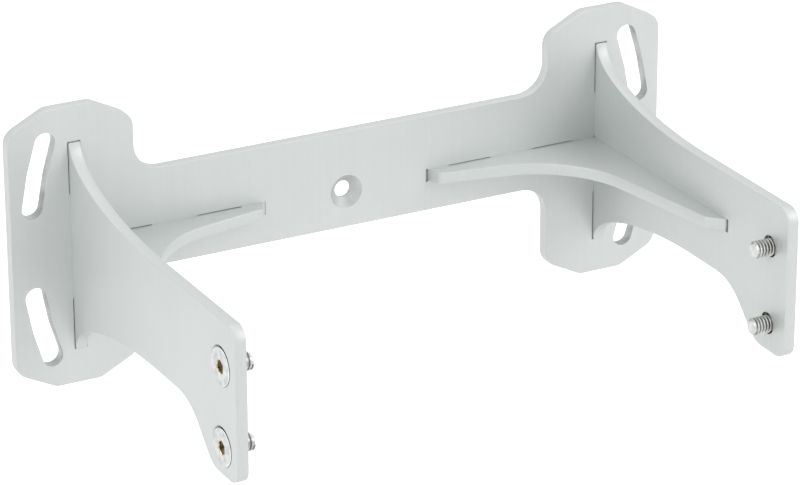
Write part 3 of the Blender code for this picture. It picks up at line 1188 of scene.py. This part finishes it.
@dataclass
class PlugWelds:
    """The weld deposits dressed flush on the wall side, kept as the CAD has them."""

    places: tuple[str, ...] = ("arm_upper", "arm_lower", "gusset_inner", "gusset_outer")

    def dress(self, nodes: dict[str, bpy.types.Object], finishes: Finishes) -> None:
        """Give each deposit the weld finish.

        Args:
            nodes: The CAD nodes by name.
            finishes: The finished materials.
        """
        for side in Side:
            for place in self.places:
                piece = nodes[f"{side.word}_{place}_plug_weld"]
                piece.data.materials.clear()
                piece.data.materials.append(finishes.weld)
                LOG.info("dressed %s", piece.name)


@dataclass(frozen=True)
class Softbox:
    """One soft square lamp."""

    name: str
    place: Point
    size: float
    watts: float

    def hang(self, target: Vector) -> None:
        """Hang the lamp in its place.

        Args:
            target: The point that it is aimed at.
        """
        lamp = bpy.data.lights.new(self.name, "AREA")
        lamp.shape = "SQUARE"
        lamp.size = self.size
        lamp.energy = self.watts
        holder = bpy.data.objects.new(self.name, lamp)
        holder.location = self.place
        holder.rotation_euler = (target - Vector(self.place)).to_track_quat("-Z", "Y").to_euler()
        bpy.context.scene.collection.objects.link(holder)


@dataclass
class Studio:
    """The pale floor, the even light and the camera.

    The camera looks from eye to aim, and trim is a last small turn about its own three axes, in radians.
    """

    floor_z: float = -0.17
    floor_half: float = 6.0
    floor_tone: float = 0.86
    floor_roughness: float = 0.9
    floor_glow: float = 0.54
    ambient: float = 0.52
    lens: float = 182.49
    sensor: float = 36.0
    nearest: float = 0.05
    eye: Point = (-0.57106, -1.12482, 0.50918)
    aim: Point = (0.0, -0.044, -0.005)
    trim: Point = (-0.0009, 0.0006, -0.0031)
    lamps: tuple[Softbox, ...] = (
        Softbox("key_softbox", (1.5, -1.6, 1.4), 1.8, 25.0),
        Softbox("fill_softbox", (-1.9, -0.4, 0.8), 1.8, 14.0),
        Softbox("top_softbox", (0.1, 0.4, 1.9), 1.6, 7.0),
    )

    @staticmethod
    def seen(tree: bpy.types.NodeTree) -> Socket:
        """Find the rays that look at the background: camera, glossy and transmission rays.

        Args:
            tree: The tree that receives the nodes.

        Returns:
            A value that is 1 on those rays.
        """
        path = tree.nodes.new("ShaderNodeLightPath")
        total = path.outputs["Is Camera Ray"]
        for name in ("Is Glossy Ray", "Is Transmission Ray"):
            either = tree.nodes.new("ShaderNodeMath")
            either.operation = "MAXIMUM"
            tree.links.new(total, either.inputs[0])
            tree.links.new(path.outputs[name], either.inputs[1])
            total = either.outputs["Value"]
        return total

    def floor_material(self) -> bpy.types.Material:
        """Build the floor's plain finish, which looks white and keeps a shadow.

        Returns:
            The material.
        """
        material = bpy.data.materials.new("pale_floor")
        material.use_nodes = True
        tree = material.node_tree
        shader = tree.nodes["Principled BSDF"]
        tone = (self.floor_tone, self.floor_tone, self.floor_tone, 1.0)
        set_inputs(shader, Base_Color=tone, Roughness=self.floor_roughness)
        set_inputs(shader, Specular_IOR_Level=0.0, Emission_Color=WHITE)
        gain = tree.nodes.new("ShaderNodeMath")
        gain.operation = "MULTIPLY"
        gain.inputs[1].default_value = self.floor_glow
        tree.links.new(self.seen(tree), gain.inputs[0])
        tree.links.new(gain.outputs["Value"], shader.inputs["Emission Strength"])
        return material

    def lay_floor(self) -> None:
        """Lay the floor under the bracket."""
        work = bmesh.new()
        bmesh.ops.create_grid(work, x_segments=1, y_segments=1, size=self.floor_half)
        bmesh.ops.translate(work, vec=(0.0, 0.0, self.floor_z), verts=work.verts)
        mesh = bpy.data.meshes.new("studio_floor")
        work.to_mesh(mesh)
        work.free()
        mesh.materials.append(self.floor_material())
        floor = bpy.data.objects.new("studio_floor", mesh)
        bpy.context.scene.collection.objects.link(floor)

    def light(self) -> None:
        """Light the bracket evenly, with a surround that looks white."""
        world = bpy.data.worlds.new("studio_world")
        world.use_nodes = True
        tree = world.node_tree
        surround = tree.nodes["Background"]
        set_inputs(surround, Color=WHITE)
        level = tree.nodes.new("ShaderNodeMapRange")
        set_inputs(level, To_Min=self.ambient, To_Max=1.0)
        tree.links.new(self.seen(tree), level.inputs["Value"])
        tree.links.new(level.outputs["Result"], surround.inputs["Strength"])
        bpy.context.scene.world = world
        for lamp in self.lamps:
            lamp.hang(Vector(self.aim))

    def set_camera(self) -> None:
        """Stand the camera where the picture was taken from."""
        eye, aim = Vector(self.eye), Vector(self.aim)
        forward = (aim - eye).normalized()
        right = forward.cross(Vector((0.0, 0.0, 1.0))).normalized()
        look = Matrix((right, forward.cross(right), forward))
        for angle, axis in zip(self.trim, "XYZ"):
            look = Matrix.Rotation(angle, 3, axis) @ look
        pose = Matrix((look[0], -look[1], -look[2])).transposed().to_4x4()
        pose.translation = eye
        lens = bpy.data.cameras.new("picture_camera")
        lens.sensor_fit = "HORIZONTAL"
        lens.sensor_width = self.sensor
        lens.lens = self.lens
        lens.clip_start = self.nearest
        camera = bpy.data.objects.new("picture_camera", lens)
        camera.matrix_world = pose
        bpy.context.scene.collection.objects.link(camera)
        bpy.context.scene.camera = camera

    def build(self) -> None:
        """Set up the floor, the light, the camera and the plain view transform."""
        self.set_camera()
        self.lay_floor()
        self.light()
        bpy.context.scene.view_settings.view_transform = "Standard"


def main() -> None:
    """Load the frame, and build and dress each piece."""
    logging.basicConfig(level=logging.INFO, format="%(message)s")
    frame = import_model()
    nodes = frame["nodes"]
    Studio().build()
    finishes = Finishes.build()
    Sheet("back_plate", Thickness.Y).dress(nodes["back_plate"], finishes)
    for side in Side:
        arm = side.word + "_arm"
        gusset = side.word + "_gusset"
        Sheet(arm, Thickness.X).dress(nodes[arm], finishes)
        Sheet(gusset, Thickness.Z).dress(nodes[gusset], finishes)
        SeamCaulk(side, tip_open=side is Side.RIGHT).dress(finishes)
        for place in BeadPlace:
            FilletBead(side, place).dress(finishes)
        for level in Level:
            ClampScrew(side, level).dress(finishes)
    PlugWelds().dress(nodes, finishes)


if __name__ == "__main__":
    main()
